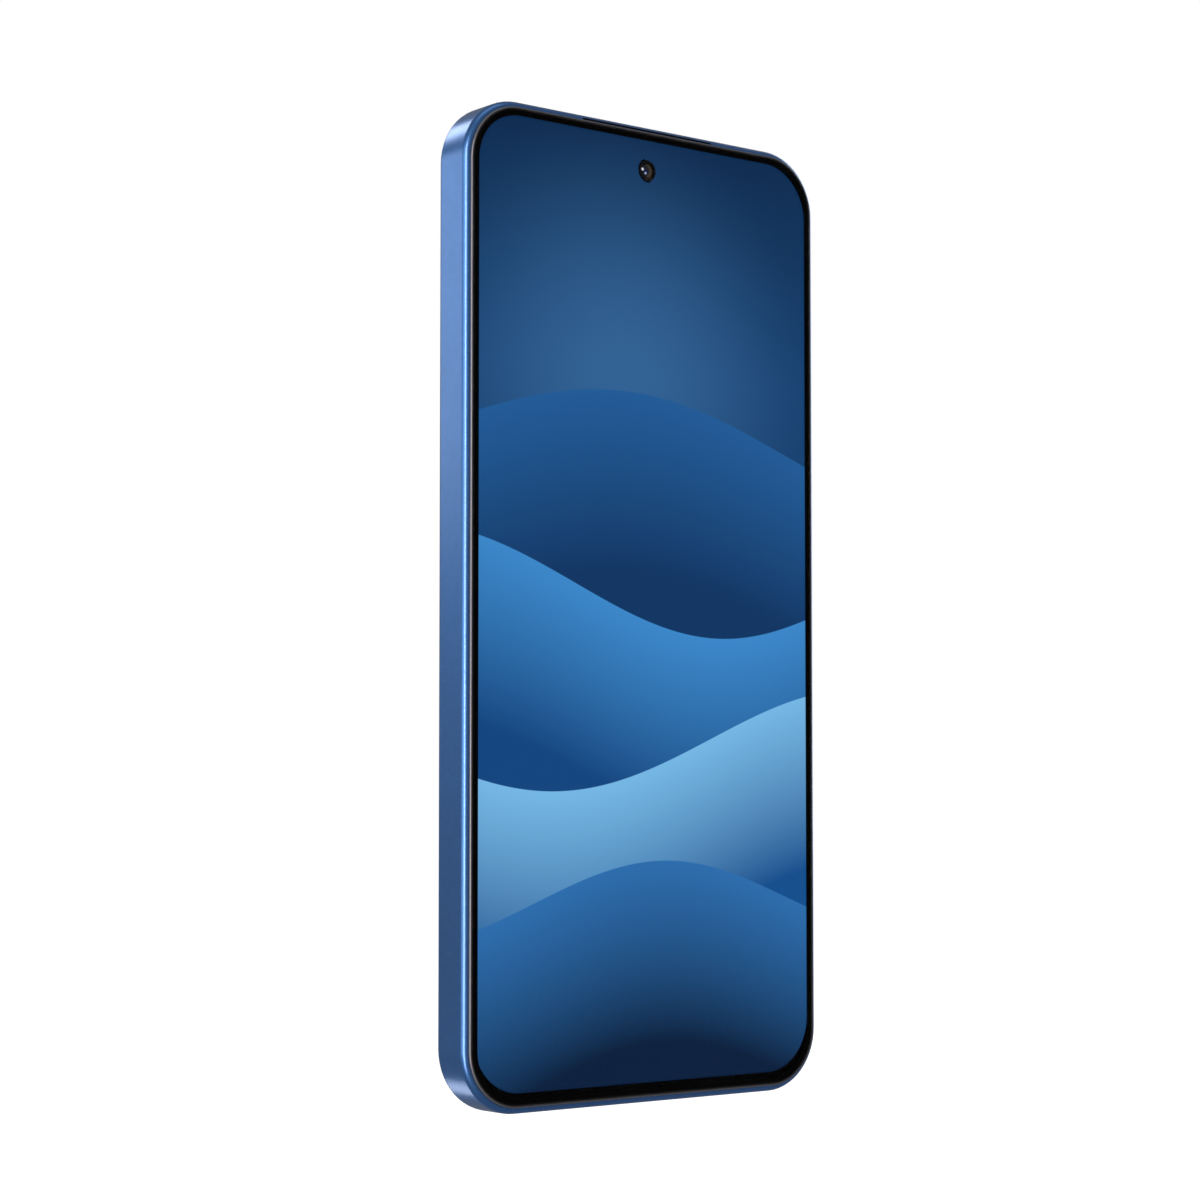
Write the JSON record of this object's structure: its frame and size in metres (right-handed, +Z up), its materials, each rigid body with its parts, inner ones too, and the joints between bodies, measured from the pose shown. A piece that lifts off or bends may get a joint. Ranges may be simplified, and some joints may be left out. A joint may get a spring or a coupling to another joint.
{
  "type": "smartphone",
  "caption": "Upright smartphone with a flat lit display, thin black border, centred camera hole, satin blue frame, side keys, card tray and rear camera deck.",
  "frame": {"origin": "centre of the overall box at the bottom edge that the phone stands on", "axes": "+Z up the long side, +X to the right seen from the screen, -Y out of the screen"},
  "size_m": [0.0757, 0.0096, 0.163],
  "materials": {
    "frame_finish": "satin metallic blue, fine grain",
    "cover_glass": "polished",
    "display": "lit panel behind the glass",
    "rear_finish": "satin metallic blue",
    "black_plastic": "fine moulded texture",
    "lens_glass": "coated, polished",
    "steel": "brushed",
    "alloy": "cast, bead blasted",
    "circuit_board": "solder mask",
    "flex_circuit": "polyimide film",
    "copper": "copper film",
    "cell_wrap": "satin film",
    "flash_diffuser": "ribbed diffuser",
    "rubber": "silicone"
  },
  "bodies": {
    "phone": {"side_frame": "frame_finish", "mid_plate": "alloy", "rear_cover": "rear_finish", "rear_cover_tape": "black_plastic", "front_glass": "cover_glass", "display_panel": "display", "display_backing": "copper", "display_flex": "flex_circuit", "fingerprint_sensor": "black_plastic", "front_camera_module": "black_plastic", "front_camera_lens": "lens_glass", "earpiece_speaker": "black_plastic", "earpiece_mesh": "steel", "camera_deck": "rear_finish", "main_lens_ring": "frame_finish", "main_lens_window": "lens_glass", "main_camera_module": "black_plastic", "main_camera_lens": "lens_glass", "wide_lens_ring": "frame_finish", "wide_lens_window": "lens_glass", "wide_camera_module": "black_plastic", "wide_camera_lens": "lens_glass", "flash_lens": "flash_diffuser", "flash_led": "flex_circuit", "main_board": "circuit_board", "front_shield_can": "steel", "rear_shield_can": "steel", "board_cover": "black_plastic", "nfc_antenna": "copper", "top_microphone": "steel", "battery": "cell_wrap", "battery_connector": "flex_circuit", "sub_board": "circuit_board", "usb_shell": "steel", "usb_tongue": "black_plastic", "bottom_microphone": "steel", "vibration_motor": "steel", "loudspeaker_box": "black_plastic", "speaker_mesh": "steel", "main_flex": "flex_circuit", "antenna_coax": "black_plastic", "power_switch": "steel", "volume_up_switch": "steel", "volume_down_switch": "steel", "side_key_flex": "flex_circuit", "side_key_bracket": "steel", "sim_reader": "steel", "lever_pin": "steel", "screw_1": "steel", "screw_2": "steel", "screw_3": "steel", "screw_4": "steel", "screw_5": "steel", "screw_6": "steel"},
    "power_button": {"power_button": "frame_finish"},
    "volume_rocker": {"volume_rocker": "frame_finish"},
    "sim_tray": {"sim_tray": "frame_finish", "tray_seal": "rubber"},
    "eject_rod": {"eject_rod": "steel"},
    "eject_lever": {"eject_lever": "steel"}
  },
  "joints": [
    {"name": "power_press", "type": "slide", "parent": "phone", "child": "power_button", "axis": [-1, 0, 0], "range_m": [0, 0.00025], "stiffness_N_per_m": 600},
    {"name": "volume_tilt", "type": "hinge", "parent": "phone", "child": "volume_rocker", "pos_m": [0.0354, -0.0006, 0.126], "axis": [0, 1, 0], "range_deg": [-1.8, 1.8], "stiffness_Nm_per_rad": 0.02},
    {"name": "tray_slide", "type": "slide", "parent": "phone", "child": "sim_tray", "axis": [0, 0, -1], "range_m": [0, 0.024]},
    {"name": "eject_push", "type": "slide", "parent": "phone", "child": "eject_rod", "axis": [0, 0, 1], "range_m": [0, 0.0012]},
    {"name": "eject_turn", "type": "hinge", "parent": "phone", "child": "eject_lever", "pos_m": [-0.0142, -0.0006, 0.0241], "axis": [0, -1, 0], "range_deg": [0, 15.68]}
  ],
  "couplings": [
    {"joint": "eject_turn", "follows": "eject_push", "rad_per_m": 227.27}
  ]
}
